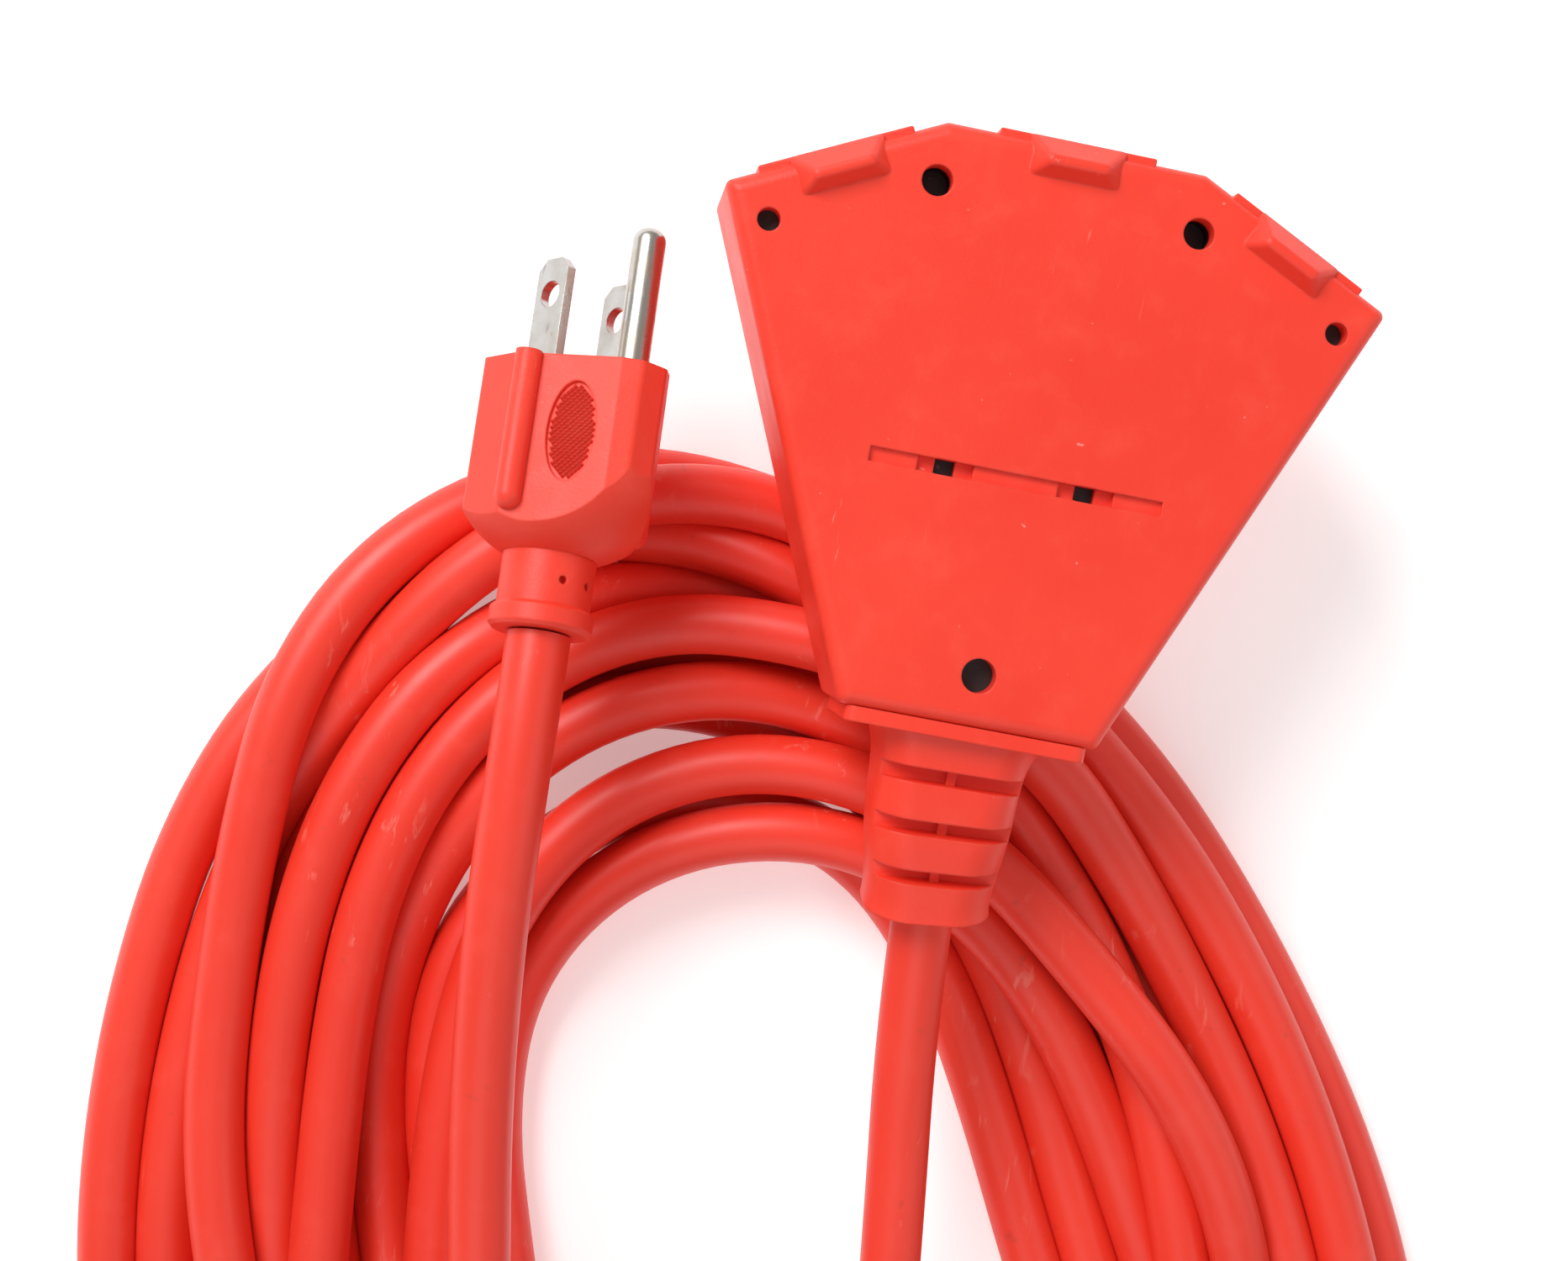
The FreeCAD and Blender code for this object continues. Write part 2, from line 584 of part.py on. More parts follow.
doc.recompute()
turn = body_new("plug_shoulder_turned")
sk = sketch_on(turn, "plug_shoulder_profile", "XY_Plane")
A0, A1, A2 = V(17.6, -13.0, 0), V(13.3, -22.6, 0), V(pnr, -pl, 0)
sk.addGeometry(Part.LineSegment(V(0, 1, 0), V(17.6, 1, 0)), False)
sk.addGeometry(Part.LineSegment(V(17.6, 1, 0), A0), False)
sk.addGeometry(Part.Arc(A0, A1, A2), False)
sk.addGeometry(Part.LineSegment(A2, V(0, -pl, 0)), False)
sk.addGeometry(Part.LineSegment(V(0, -pl, 0), V(0, 1, 0)), False)
rev = turn.newObject("PartDesign::Revolution", "plug_shoulder_rev")
rev.Profile = sk
rev.ReferenceAxis = (sk, ["V_Axis"])
rev.Angle = 360
turn.Tip = rev
doc.recompute()
common = doc.addObject("Part::MultiCommon", "plug_form")
common.Shapes = [pb, turn]
doc.recompute()


def rod(a0, b0, t0, t1, r):
    return Part.makeCylinder(r, t1 - t0, V(a0, t0, b0), V(0, 1, 0))


plug_solids = {}
bt, bw = S("blade_thick"), S("blade_wide")
bo = S("blade_out")
for nm, a0 in (("line", -half), ("neutral", half)):
    body = body_new(nm + "_blade_body")
    sk = sketch_on(body, nm + "_blade_sk", "YZ_Plane", a0 - bt / 2)
    w2 = bw / 2
    # the sketch's x runs along the plug axis, its y toward the ground pin
    poly(sk, [(-9.0, -w2), (bo - 1.6, -w2), (bo, -w2 + 1.6), (bo, w2 - 1.6), (bo - 1.6, w2), (-9.0, w2)])
    sk.addGeometry(Part.Circle(V(10.5, 0, 0), V(0, 0, 1), S("blade_hole")), False)
    pd = body.newObject("PartDesign::Pad", nm + "_blade_pad")
    pd.Profile = sk
    pd.Length = bt
    pd.setExpression("Length", "Sheet.blade_thick")
    body.Tip = pd
    body.Placement = Placement(PLUG_BASE, PLUG_ROT)
    keep(body, nm + "_blade")
    plug_solids[nm + "_blade"] = box(a0 - bt / 2, a0 + bt / 2, -9.0, 0.5, -w2, w2)

pr, po, gof = S("pin_rad"), S("pin_out"), S("ground_offset")
gp = body_new("ground_pin_body")
sk = sketch_on(gp, "ground_pin_profile", "XY_Plane")
shank = pr - 0.28
sk.addGeometry(Part.LineSegment(V(0, -9, 0), V(shank, -9, 0)), False)
sk.addGeometry(Part.LineSegment(V(shank, -9, 0), V(shank, 0.3, 0)), False)
sk.addGeometry(Part.LineSegment(V(shank, 0.3, 0), V(pr, 0.3, 0)), False)
sk.addGeometry(Part.LineSegment(V(pr, 0.3, 0), V(pr, po - 1.9, 0)), False)
c45 = 1.9 * math.sqrt(0.5)
sk.addGeometry(Part.Arc(V(pr, po - 1.9, 0), V(pr - 1.9 + c45, po - 1.9 + c45, 0), V(pr - 1.9, po, 0)), False)
sk.addGeometry(Part.LineSegment(V(pr - 1.9, po, 0), V(0, po, 0)), False)
sk.addGeometry(Part.LineSegment(V(0, po, 0), V(0, -9, 0)), False)
rv = gp.newObject("PartDesign::Revolution", "ground_pin_rev")
rv.Profile = sk
rv.ReferenceAxis = (sk, ["V_Axis"])
rv.Angle = 360
gp.Tip = rv
gp.Placement = Placement(PLUG_BASE + PLUG_ROT.multVec(V(0, 0, gof)), PLUG_ROT)
keep(gp, "ground_pin")
plug_solids["ground_pin"] = rod(0, gof, -9.0, 0.5, shank)

bridge = box(-9.6, 9.6, -6.4, -1.6, -4.4, 4.2).fuse(box(-3.4, 3.4, -6.4, -1.6, 4.0, 14.6)).removeSplitter()
plug_solids["plug_bridge"] = bridge
bridge_net = bridge.cut(Part.Compound([plug_solids[k] for k in ("line_blade", "neutral_blade", "ground_pin")]))
feature("plug_bridge", bridge_net, PLUG_BASE, PLUG_ROT)

wires_plug = []
for nm, a0, b0, phi in (("line", -half, 0.0, 210), ("neutral", half, 0.0, -30), ("ground", 0.0, gof, 90)):
    cr = rod(a0, b0, -15.5, -9.0, S("crimp_outer"))
    bore = rod(a0, b0, -15.5, -9.4, S("wire_outer"))
    plug_solids[nm + "_crimp"] = cr
    feature(nm + "_plug_crimp", cr.cut(bore), PLUG_BASE, PLUG_ROT)
    c_, s_ = math.cos(math.radians(phi)) * 1.72, math.sin(math.radians(phi)) * 1.72
    pts = [(a0, -9.4, b0), (a0, -20.0, b0), (c_ + a0 * 0.02, -28.4, s_ + b0 * 0.01), (c_, PLUG_END, s_)]
    solid, L = tube(pts, S("wire_outer"))
    wires_plug.append((nm, solid))
    plug_solids[nm + "_wire"] = solid
    feature(nm + "_wire_plug_end", solid, PLUG_BASE, PLUG_ROT)

ribs = []
for sx in (-1, 1):
    capsule = rod(sx * 12.0, 3.6, -21.0, 0.0, 1.9).fuse(Part.makeSphere(1.9, V(sx * 12.0, -21.0, 3.6)))
    ribs.append(feature("plug_rib_%s" % ("left" if sx < 0 else "right"), capsule, final=False))
form = doc.addObject("Part::MultiFuse", "plug_form_ribbed")
form.Shapes = [common] + ribs
doc.recompute()
# oval finger grips sunk into both slanted flats
grips = []
for sx in (-1, 1):
    nrm = V(sx * 0.866, 0, 0.5)
    mid = V(sx * 7.6, -11.0, 9.8)
    long_, short_ = 7.25, 3.6
    el = Part.Ellipse(V(0, 0, 0), long_, short_).toShape()
    disc = Part.Face(Part.Wire([el])).extrude(V(0, 0, 5))
    R = Rotation(V(0, 1, 0), nrm.cross(V(0, 1, 0)), nrm, "XYZ")
    disc.Placement = Placement(mid - nrm * 0.6, R)
    grips.append(disc)
inner = [plug_solids[k] for k in plug_solids]
tool = feature("plug_cutters", Part.Compound(inner + grips), final=False)
pc = doc.addObject("Part::Cut", "plug_cut")
pc.Base = form
pc.Tool = tool
pc.Placement = Placement(PLUG_BASE, PLUG_ROT)
keep(pc, "plug_overmould")

rb = body_new("plug_collar_body")
sk = sketch_on(rb, "plug_collar_profile", "XY_Plane")
prof = [(0, -pl), (pnr, -pl), (pnr, -pl - pnl), (rr - 0.5, -pl - pnl), (rr, -pl - pnl - 0.5), (rr, PLUG_END + 0.6),
        (rr - 0.6, PLUG_END), (0, PLUG_END)]
poly(sk, prof)
rv = rb.newObject("PartDesign::Revolution", "plug_collar_rev")
rv.Profile = sk
rv.ReferenceAxis = (sk, ["V_Axis"])
rv.Angle = 360
rb.Tip = rv
dots = []
for sx in (-1, 1):
    dv = V(sx * 0.33, 0, 0.944)
    dots.append(Part.makeCylinder(0.6, 4.0, V(0, -31.0, 0) + dv * 5.4, dv))
tool = feature("plug_collar_cutters", Part.Compound([w[1] for w in wires_plug] + dots), final=False)
rc = doc.addObject("Part::Cut", "plug_collar_cut")
rc.Base = rb
rc.Tool = tool
rc.Placement = Placement(PLUG_BASE, PLUG_ROT)
keep(rc, "plug_strain_relief")
doc.recompute()

# ------------------------------------------------------------------ cord
# control points in a frame with z = 0 on the floor; the first lies on the neck or ring end
rad = S("cord_dia") / 2
n0 = (ne.x, ne.y, ne.z + LIFT)
n1 = (ne.x + ndir.x * 21, ne.y + ndir.y * 21, n0[2] + ndir.z * 21)
FAN_LEAD = [n0, n1, (7.2, -76.0, 27.0), (10.6, -106.0, 26.2), (17.0, -140.0, 26.0), (26.0, -173.0, 26.3),
            (31.0, -206.0, 26.5)]
t0 = (tail.x, tail.y, tail.z)
t1 = (tail.x - d_.x * 17, tail.y - d_.y * 17, tail.z - d_.z * 17)
PLUG_LEAD = [t0, t1, (-60.0, -40.0, 44.0), (-57.2, -68.0, 38.5), (-52.0, -98.0, 33.0), (-46.0, -130.0, 29.5),
             (-34.0, -162.0, 26.8), (-12.5, -190.0, 24.8)]
print("FAN_LEAD", [tuple(round(c, 3) for c in q) for q in FAN_LEAD])
print("PLUG_LEAD", [tuple(round(c, 3) for c in q) for q in PLUG_LEAD])
fs, fL = tube(FAN_LEAD, rad, "fan lead")
ps, pL = tube(PLUG_LEAD, rad, "plug lead")
feature("fan_lead", fs, FLOOR_BASE)
feature("plug_lead", ps, FLOOR_BASE)

# the coil: an oval ring as wide and as high as the wound turns, rounded all over
coil = body_new("cord_coil_body")
sk = sketch_on(coil, "coil_outline")
lean = math.radians(S("coil_tilt"))


def oval(cx, cy, major, minor):
    c_ = V(cx, cy, 0)
    e = Part.Ellipse(c_ + V(-math.sin(lean), math.cos(lean), 0) * major, c_ + V(math.cos(lean), math.sin(lean), 0) * minor, c_)
    return e


sk.addGeometry(oval(0.0, -117.0, S("coil_out_major"), S("coil_out_minor")), False)
sk.addGeometry(oval(2.0, -112.0, S("coil_in_major"), S("coil_in_minor")), False)
cp = coil.newObject("PartDesign::Pad", "coil_pad")
cp.Profile = sk
cp.Length = S("coil_high")
cp.setExpression("Length", "Sheet.coil_high")
doc.recompute()
cf = coil.newObject("PartDesign::Fillet", "coil_rounding")
cf.Base = (cp, ["Edge%d" % (i + 1) for i, e in enumerate(cp.Shape.Edges)
               if all(abs(v.Point.z) < 1e-4 for v in e.Vertexes) or all(abs(v.Point.z - S("coil_high")) < 1e-4 for v in e.Vertexes)])
cf.Radius = S("coil_round")
cf.setExpression("Radius", "Sheet.coil_round")
coil.Tip = cf
coil.Placement = Placement(FLOOR_BASE, Rotation())
keep(coil, "cord_coil")
doc.recompute()
print("coil volume", round(coil.Shape.Volume), "valid", coil.Shape.isValid())


# ------------------------------------------------------------------ check and write
doc.recompute()
bad = [o.Name for o in doc.Objects if "Invalid" in o.State or "Error" in o.State]
if bad:
    raise RuntimeError("objects did not compute: %s" % bad)
for o in NODES:
    s = o.Shape
    if s.isNull() or not s.isValid():
        raise RuntimeError("bad shape: " + o.Label)
    if o.Shape.Volume <= 0:
        raise RuntimeError("no volume: " + o.Label)
os.makedirs("parts", exist_ok=True)
for o in NODES:
    o.Shape.exportStep("parts/%s.step" % o.Label)
    bb = o.Shape.BoundBox
    print("%-28s solids %d vol %9.1f  x %.1f..%.1f y %.1f..%.1f z %.1f..%.1f" % (
        o.Label, len(o.Shape.Solids), o.Shape.Volume, bb.XMin, bb.XMax, bb.YMin, bb.YMax, bb.ZMin, bb.ZMax))
print(len(NODES), "nodes")
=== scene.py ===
import bpy
import bmesh
import math
from mathutils import Vector, Matrix


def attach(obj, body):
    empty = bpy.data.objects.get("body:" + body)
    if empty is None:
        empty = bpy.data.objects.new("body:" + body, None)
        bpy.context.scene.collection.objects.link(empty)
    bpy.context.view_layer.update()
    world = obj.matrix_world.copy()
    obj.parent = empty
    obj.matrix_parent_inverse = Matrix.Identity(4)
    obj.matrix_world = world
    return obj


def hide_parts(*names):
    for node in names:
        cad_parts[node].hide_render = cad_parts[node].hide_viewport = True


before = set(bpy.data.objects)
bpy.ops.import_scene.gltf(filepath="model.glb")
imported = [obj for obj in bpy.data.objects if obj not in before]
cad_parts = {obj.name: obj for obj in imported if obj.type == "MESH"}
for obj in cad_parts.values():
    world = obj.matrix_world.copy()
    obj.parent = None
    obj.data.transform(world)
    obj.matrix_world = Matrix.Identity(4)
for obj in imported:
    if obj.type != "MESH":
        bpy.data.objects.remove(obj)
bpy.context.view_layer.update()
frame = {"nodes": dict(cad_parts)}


# ---------------------------------------------------------------- camera
scene = bpy.context.scene
cam_data = bpy.data.cameras.new("shot_camera")
cam_data.sensor_fit = "HORIZONTAL"
cam_data.sensor_width = 36.0
cam_data.lens = 57.43
cam_data.clip_start = 0.01
cam_data.clip_end = 20.0
cam_data.dof.use_dof = False
cam = bpy.data.objects.new("shot_camera", cam_data)
scene.collection.objects.link(cam)
right = Vector((0.97924288, 0.18713535, 0.07786998))
up = Vector((-0.18502986, 0.98216201, -0.03349246))
back = Vector((-0.08274856, 0.01838899, 0.99640078))
m = Matrix.Identity(4)
for i, axis in enumerate((right, up, back)):
    for j in range(3):
        m[j][i] = axis[j]
m.translation = Vector((-0.05684, -0.0683, 0.3539))
cam.matrix_world = m
scene.camera = cam
scene.view_settings.view_transform = "Standard"
scene.view_settings.look = "None"


# ---------------------------------------------------------------- the cord, one spline
DIAMETER = 0.00927
OFF = Vector((0.0, -83.2, -46.1))
FAN_LEAD = [(1.218, -27.252, 35.968), (3.148, -47.294, 30.003), (7.2, -76.0, 27.0), (10.6, -106.0, 26.2),
            (17.0, -140.0, 26.0), (26.0, -173.0, 26.3), (31.0, -206.0, 26.5)]
PLUG_LEAD = [(-61.456, 1.498, 42.619), (-60.746, -15.135, 46.059), (-60.0, -40.0, 44.0), (-57.2, -68.0, 38.5),
             (-52.0, -98.0, 33.0), (-46.0, -130.0, 29.5), (-34.0, -162.0, 26.8), (-12.5, -190.0, 24.8)]
# the wound turns: control points of the same spline, from the fan lead's end to the plug lead's end
COIL = [
    (0.0342, -0.3060, -0.0201), (0.0313, -0.3220, -0.0238), (0.0191, -0.3401, -0.0279), (-0.0013, -0.3492, -0.0312),
    (-0.0226, -0.3475, -0.0334), (-0.0412, -0.3359, -0.0349), (-0.0514, -0.3165, -0.0340), (-0.0550, -0.2942, -0.0321),
    (-0.0587, -0.2724, -0.0323), (-0.0656, -0.2516, -0.0325), (-0.0744, -0.2308, -0.0333), (-0.0825, -0.2098, -0.0333),
    (-0.0908, -0.1890, -0.0324), (-0.0970, -0.1671, -0.0325), (-0.0991, -0.1443, -0.0330), (-0.0995, -0.1209, -0.0321),
    (-0.0978, -0.0976, -0.0318), (-0.0884, -0.0764, -0.0340), (-0.0708, -0.0611, -0.0381), (-0.0485, -0.0546, -0.0409),
    (-0.0254, -0.0567, -0.0415), (-0.0030, -0.0633, -0.0414), (0.0183, -0.0733, -0.0415), (0.0370, -0.0868, -0.0415),
    (0.0530, -0.1031, -0.0415), (0.0675, -0.1207, -0.0415), (0.0807, -0.1394, -0.0415), (0.0916, -0.1597, -0.0415),
    (0.0992, -0.1811, -0.0415), (0.1033, -0.2035, -0.0415), (0.1034, -0.2264, -0.0415), (0.1011, -0.2491, -0.0415),
    (0.0975, -0.2717, -0.0415), (0.0919, -0.2940, -0.0415), (0.0795, -0.3132, -0.0415), (0.0597, -0.3253, -0.0415),
    (0.0374, -0.3294, -0.0415), (0.0152, -0.3263, -0.0415), (-0.0058, -0.3177, -0.0415), (-0.0248, -0.3047, -0.0415),
    (-0.0411, -0.2889, -0.0415), (-0.0555, -0.2716, -0.0415), (-0.0680, -0.2532, -0.0415), (-0.0782, -0.2334, -0.0415),
    (-0.0863, -0.2131, -0.0415), (-0.0920, -0.1926, -0.0415), (-0.0946, -0.1715, -0.0415), (-0.0945, -0.1498, -0.0415),
    (-0.0918, -0.1282, -0.0415), (-0.0848, -0.1076, -0.0415), (-0.0711, -0.0910, -0.0415), (-0.0510, -0.0821, -0.0415),
    (-0.0288, -0.0792, -0.0415), (-0.0075, -0.0817, -0.0414), (0.0120, -0.0908, -0.0415), (0.0289, -0.1045, -0.0414),
    (0.0436, -0.1209, -0.0415), (0.0571, -0.1378, -0.0415), (0.0690, -0.1561, -0.0415), (0.0792, -0.1757, -0.0415),
    (0.0883, -0.1958, -0.0415), (0.0937, -0.2165, -0.0415), (0.0936, -0.2382, -0.0415), (0.0898, -0.2598, -0.0414),
    (0.0819, -0.2803, -0.0415), (0.0688, -0.2978, -0.0415), (0.0503, -0.3089, -0.0414), (0.0288, -0.3106, -0.0415),
    (0.0076, -0.3043, -0.0415), (-0.0107, -0.2930, -0.0415), (-0.0264, -0.2785, -0.0415), (-0.0402, -0.2622, -0.0415),
    (-0.0523, -0.2441, -0.0415), (-0.0621, -0.2249, -0.0415), (-0.0697, -0.2047, -0.0415), (-0.0763, -0.1839, -0.0415),
    (-0.0825, -0.1631, -0.0415), (-0.0848, -0.1426, -0.0415), (-0.0811, -0.1220, -0.0415), (-0.0714, -0.1039, -0.0415),
    (-0.0545, -0.0922, -0.0415), (-0.0336, -0.0885, -0.0415), (-0.0134, -0.0928, -0.0415), (0.0038, -0.1044, -0.0415),
    (0.0181, -0.1198, -0.0415), (0.0291, -0.1375, -0.0415), (0.0383, -0.1564, -0.0415), (0.0484, -0.1754, -0.0415),
    (0.0581, -0.1947, -0.0415), (0.0663, -0.2141, -0.0415), (0.0720, -0.2347, -0.0415), (0.0724, -0.2567, -0.0415),
    (0.0632, -0.2754, -0.0415), (0.0476, -0.2869, -0.0415), (0.0286, -0.2911, -0.0415), (0.0092, -0.2857, -0.0415),
    (-0.0081, -0.2720, -0.0415), (-0.0223, -0.2553, -0.0415), (-0.0345, -0.2378, -0.0415), (-0.0446, -0.2191, -0.0415),
    (-0.0527, -0.1990, -0.0415), (-0.0593, -0.1784, -0.0415), (-0.0657, -0.1570, -0.0415), (-0.0666, -0.1351, -0.0415),
    (-0.0569, -0.1174, -0.0415), (-0.0420, -0.1062, -0.0414), (-0.0237, -0.1033, -0.0415), (-0.0046, -0.1085, -0.0414),
    (0.0109, -0.1246, -0.0415), (0.0224, -0.1445, -0.0415), (0.0322, -0.1640, -0.0415), (0.0422, -0.1830, -0.0415),
    (0.0516, -0.2028, -0.0415), (0.0610, -0.2246, -0.0415), (0.0632, -0.2455, -0.0415), (0.0548, -0.2625, -0.0415),
    (0.0421, -0.2735, -0.0415), (0.0250, -0.2769, -0.0415), (0.0065, -0.2731, -0.0415), (-0.0094, -0.2578, -0.0415),
    (-0.0225, -0.2391, -0.0415), (-0.0337, -0.2204, -0.0415), (-0.0423, -0.2009, -0.0414), (-0.0492, -0.1808, -0.0414),
    (-0.0557, -0.1596, -0.0415), (-0.0561, -0.1384, -0.0410), (-0.0467, -0.1203, -0.0381), (-0.0307, -0.1084, -0.0339),
    (-0.0100, -0.1046, -0.0319), (0.0111, -0.1111, -0.0322), (0.0279, -0.1257, -0.0333), (0.0404, -0.1433, -0.0364),
    (0.0513, -0.1618, -0.0403), (0.0617, -0.1813, -0.0416), (0.0708, -0.2014, -0.0414), (0.0781, -0.2218, -0.0414),
    (0.0819, -0.2433, -0.0415), (0.0791, -0.2654, -0.0415), (0.0682, -0.2848, -0.0415), (0.0503, -0.2974, -0.0415),
    (0.0288, -0.3010, -0.0415), (0.0077, -0.2948, -0.0415), (-0.0107, -0.2817, -0.0415), (-0.0256, -0.2659, -0.0415),
    (-0.0386, -0.2486, -0.0415), (-0.0497, -0.2298, -0.0415), (-0.0585, -0.2097, -0.0415), (-0.0652, -0.1893, -0.0414),
    (-0.0717, -0.1687, -0.0415), (-0.0757, -0.1474, -0.0413), (-0.0731, -0.1257, -0.0389), (-0.0643, -0.1060, -0.0347),
    (-0.0488, -0.0912, -0.0322), (-0.0285, -0.0846, -0.0329), (-0.0075, -0.0880, -0.0349), (0.0105, -0.0998, -0.0378),
    (0.0260, -0.1151, -0.0408), (0.0406, -0.1316, -0.0415), (0.0540, -0.1489, -0.0413), (0.0649, -0.1672, -0.0414),
    (0.0743, -0.1866, -0.0415), (0.0823, -0.2070, -0.0398), (0.0870, -0.2283, -0.0355), (0.0899, -0.2503, -0.0321),
    (0.0903, -0.2723, -0.0329), (0.0841, -0.2927, -0.0376), (0.0697, -0.3093, -0.0415), (0.0501, -0.3187, -0.0415),
    (0.0283, -0.3197, -0.0413), (0.0074, -0.3140, -0.0415), (-0.0115, -0.3037, -0.0415), (-0.0279, -0.2898, -0.0415),
    (-0.0424, -0.2738, -0.0415), (-0.0552, -0.2566, -0.0414), (-0.0661, -0.2381, -0.0414), (-0.0747, -0.2185, -0.0415),
    (-0.0813, -0.1981, -0.0403), (-0.0863, -0.1771, -0.0367), (-0.0893, -0.1555, -0.0340), (-0.0898, -0.1333, -0.0329),
    (-0.0862, -0.1117, -0.0321), (-0.0767, -0.0917, -0.0326), (-0.0606, -0.0770, -0.0362), (-0.0395, -0.0711, -0.0411),
    (-0.0172, -0.0704, -0.0416), (0.0038, -0.0758, -0.0413), (0.0227, -0.0874, -0.0414), (0.0394, -0.1021, -0.0415),
    (0.0538, -0.1185, -0.0414), (0.0672, -0.1359, -0.0415), (0.0790, -0.1550, -0.0408), (0.0884, -0.1754, -0.0383),
    (0.0957, -0.1964, -0.0349), (0.1025, -0.2179, -0.0322), (0.1076, -0.2402, -0.0336), (0.1080, -0.2630, -0.0377),
    (0.1040, -0.2853, -0.0407), (0.0957, -0.3063, -0.0415), (0.0823, -0.3253, -0.0414), (0.0637, -0.3399, -0.0414),
    (0.0415, -0.3466, -0.0415), (0.0183, -0.3458, -0.0415), (-0.0039, -0.3391, -0.0415), (-0.0244, -0.3276, -0.0414),
    (-0.0424, -0.3132, -0.0415), (-0.0586, -0.2967, -0.0415), (-0.0730, -0.2785, -0.0414), (-0.0856, -0.2586, -0.0415),
    (-0.0960, -0.2375, -0.0415), (-0.1043, -0.2157, -0.0415), (-0.1102, -0.1931, -0.0415), (-0.1129, -0.1697, -0.0415),
    (-0.1127, -0.1465, -0.0415), (-0.1097, -0.1238, -0.0415), (-0.1018, -0.1021, -0.0413), (-0.0875, -0.0831, -0.0415),
    (-0.0682, -0.0696, -0.0414), (-0.0463, -0.0632, -0.0376), (-0.0238, -0.0662, -0.0324), (-0.0033, -0.0780, -0.0332),
    (0.0139, -0.0936, -0.0325), (0.0290, -0.1101, -0.0331), (0.0418, -0.1283, -0.0331), (0.0518, -0.1488, -0.0324),
    (0.0590, -0.1703, -0.0324), (0.0645, -0.1917, -0.0326), (0.0682, -0.2135, -0.0324), (0.0693, -0.2360, -0.0326),
    (0.0664, -0.2580, -0.0338), (0.0555, -0.2763, -0.0341), (0.0375, -0.2876, -0.0329), (0.0162, -0.2896, -0.0323),
    (-0.0041, -0.2815, -0.0332), (-0.0199, -0.2662, -0.0336), (-0.0328, -0.2487, -0.0336), (-0.0441, -0.2301, -0.0336),
    (-0.0533, -0.2098, -0.0335), (-0.0590, -0.1888, -0.0327), (-0.0616, -0.1673, -0.0325), (-0.0626, -0.1452, -0.0331),
    (-0.0591, -0.1234, -0.0328), (-0.0469, -0.1060, -0.0324), (-0.0280, -0.0959, -0.0315), (-0.0066, -0.0954, -0.0294),
    (0.0132, -0.1043, -0.0273), (0.0307, -0.1181, -0.0246), (0.0470, -0.1325, -0.0235), (0.0599, -0.1496, -0.0265),
    (0.0684, -0.1698, -0.0305), (0.0740, -0.1907, -0.0324), (0.0770, -0.2118, -0.0325), (0.0789, -0.2333, -0.0324),
    (0.0811, -0.2551, -0.0325), (0.0801, -0.2767, -0.0325), (0.0736, -0.2974, -0.0330), (0.0604, -0.3145, -0.0325),
    (0.0408, -0.3241, -0.0330), (0.0192, -0.3238, -0.0334), (-0.0009, -0.3158, -0.0333), (-0.0187, -0.3041, -0.0334),
    (-0.0343, -0.2893, -0.0333), (-0.0468, -0.2715, -0.0326), (-0.0560, -0.2522, -0.0325), (-0.0641, -0.2323, -0.0334),
    (-0.0719, -0.2119, -0.0335), (-0.0766, -0.1908, -0.0324), (-0.0787, -0.1696, -0.0324), (-0.0804, -0.1484, -0.0331),
    (-0.0800, -0.1271, -0.0325), (-0.0743, -0.1061, -0.0322), (-0.0619, -0.0883, -0.0324), (-0.0439, -0.0771, -0.0306),
    (-0.0229, -0.0752, -0.0260), (-0.0008, -0.0785, -0.0235), (0.0190, -0.0873, -0.0268), (0.0344, -0.1025, -0.0307),
    (0.0485, -0.1194, -0.0332), (0.0615, -0.1374, -0.0334), (0.0722, -0.1566, -0.0327), (0.0803, -0.1767, -0.0324),
    (0.0867, -0.1974, -0.0324), (0.0931, -0.2187, -0.0326), (0.0982, -0.2403, -0.0330), (0.0999, -0.2623, -0.0325),
    (0.0974, -0.2844, -0.0323), (0.0896, -0.3058, -0.0328), (0.0757, -0.3235, -0.0344), (0.0562, -0.3347, -0.0367),
    (0.0339, -0.3382, -0.0395), (0.0112, -0.3347, -0.0413), (-0.0098, -0.3259, -0.0415), (-0.0285, -0.3133, -0.0414),
    (-0.0452, -0.2981, -0.0415), (-0.0600, -0.2810, -0.0415), (-0.0727, -0.2627, -0.0415), (-0.0835, -0.2431, -0.0415),
    (-0.0925, -0.2225, -0.0415), (-0.0993, -0.2008, -0.0415), (-0.1032, -0.1784, -0.0414), (-0.1039, -0.1558, -0.0413),
    (-0.1020, -0.1332, -0.0416), (-0.0958, -0.1115, -0.0406), (-0.0859, -0.0914, -0.0351), (-0.0730, -0.0729, -0.0318),
    (-0.0548, -0.0596, -0.0309), (-0.0328, -0.0555, -0.0312), (-0.0107, -0.0616, -0.0325), (0.0091, -0.0728, -0.0333),
    (0.0275, -0.0853, -0.0338), (0.0443, -0.1002, -0.0337), (0.0591, -0.1176, -0.0337), (0.0716, -0.1360, -0.0332),
    (0.0817, -0.1557, -0.0317), (0.0892, -0.1768, -0.0289), (0.0941, -0.1988, -0.0260), (0.0974, -0.2205, -0.0242),
    (0.0978, -0.2424, -0.0238), (0.0951, -0.2646, -0.0245), (0.0875, -0.2854, -0.0244), (0.0718, -0.3005, -0.0234),
    (0.0516, -0.3077, -0.0271), (0.0314, -0.3062, -0.0302), (0.0102, -0.2961, -0.0266),
]


def row(p):
    return (Vector(p) + OFF) / 1000.0


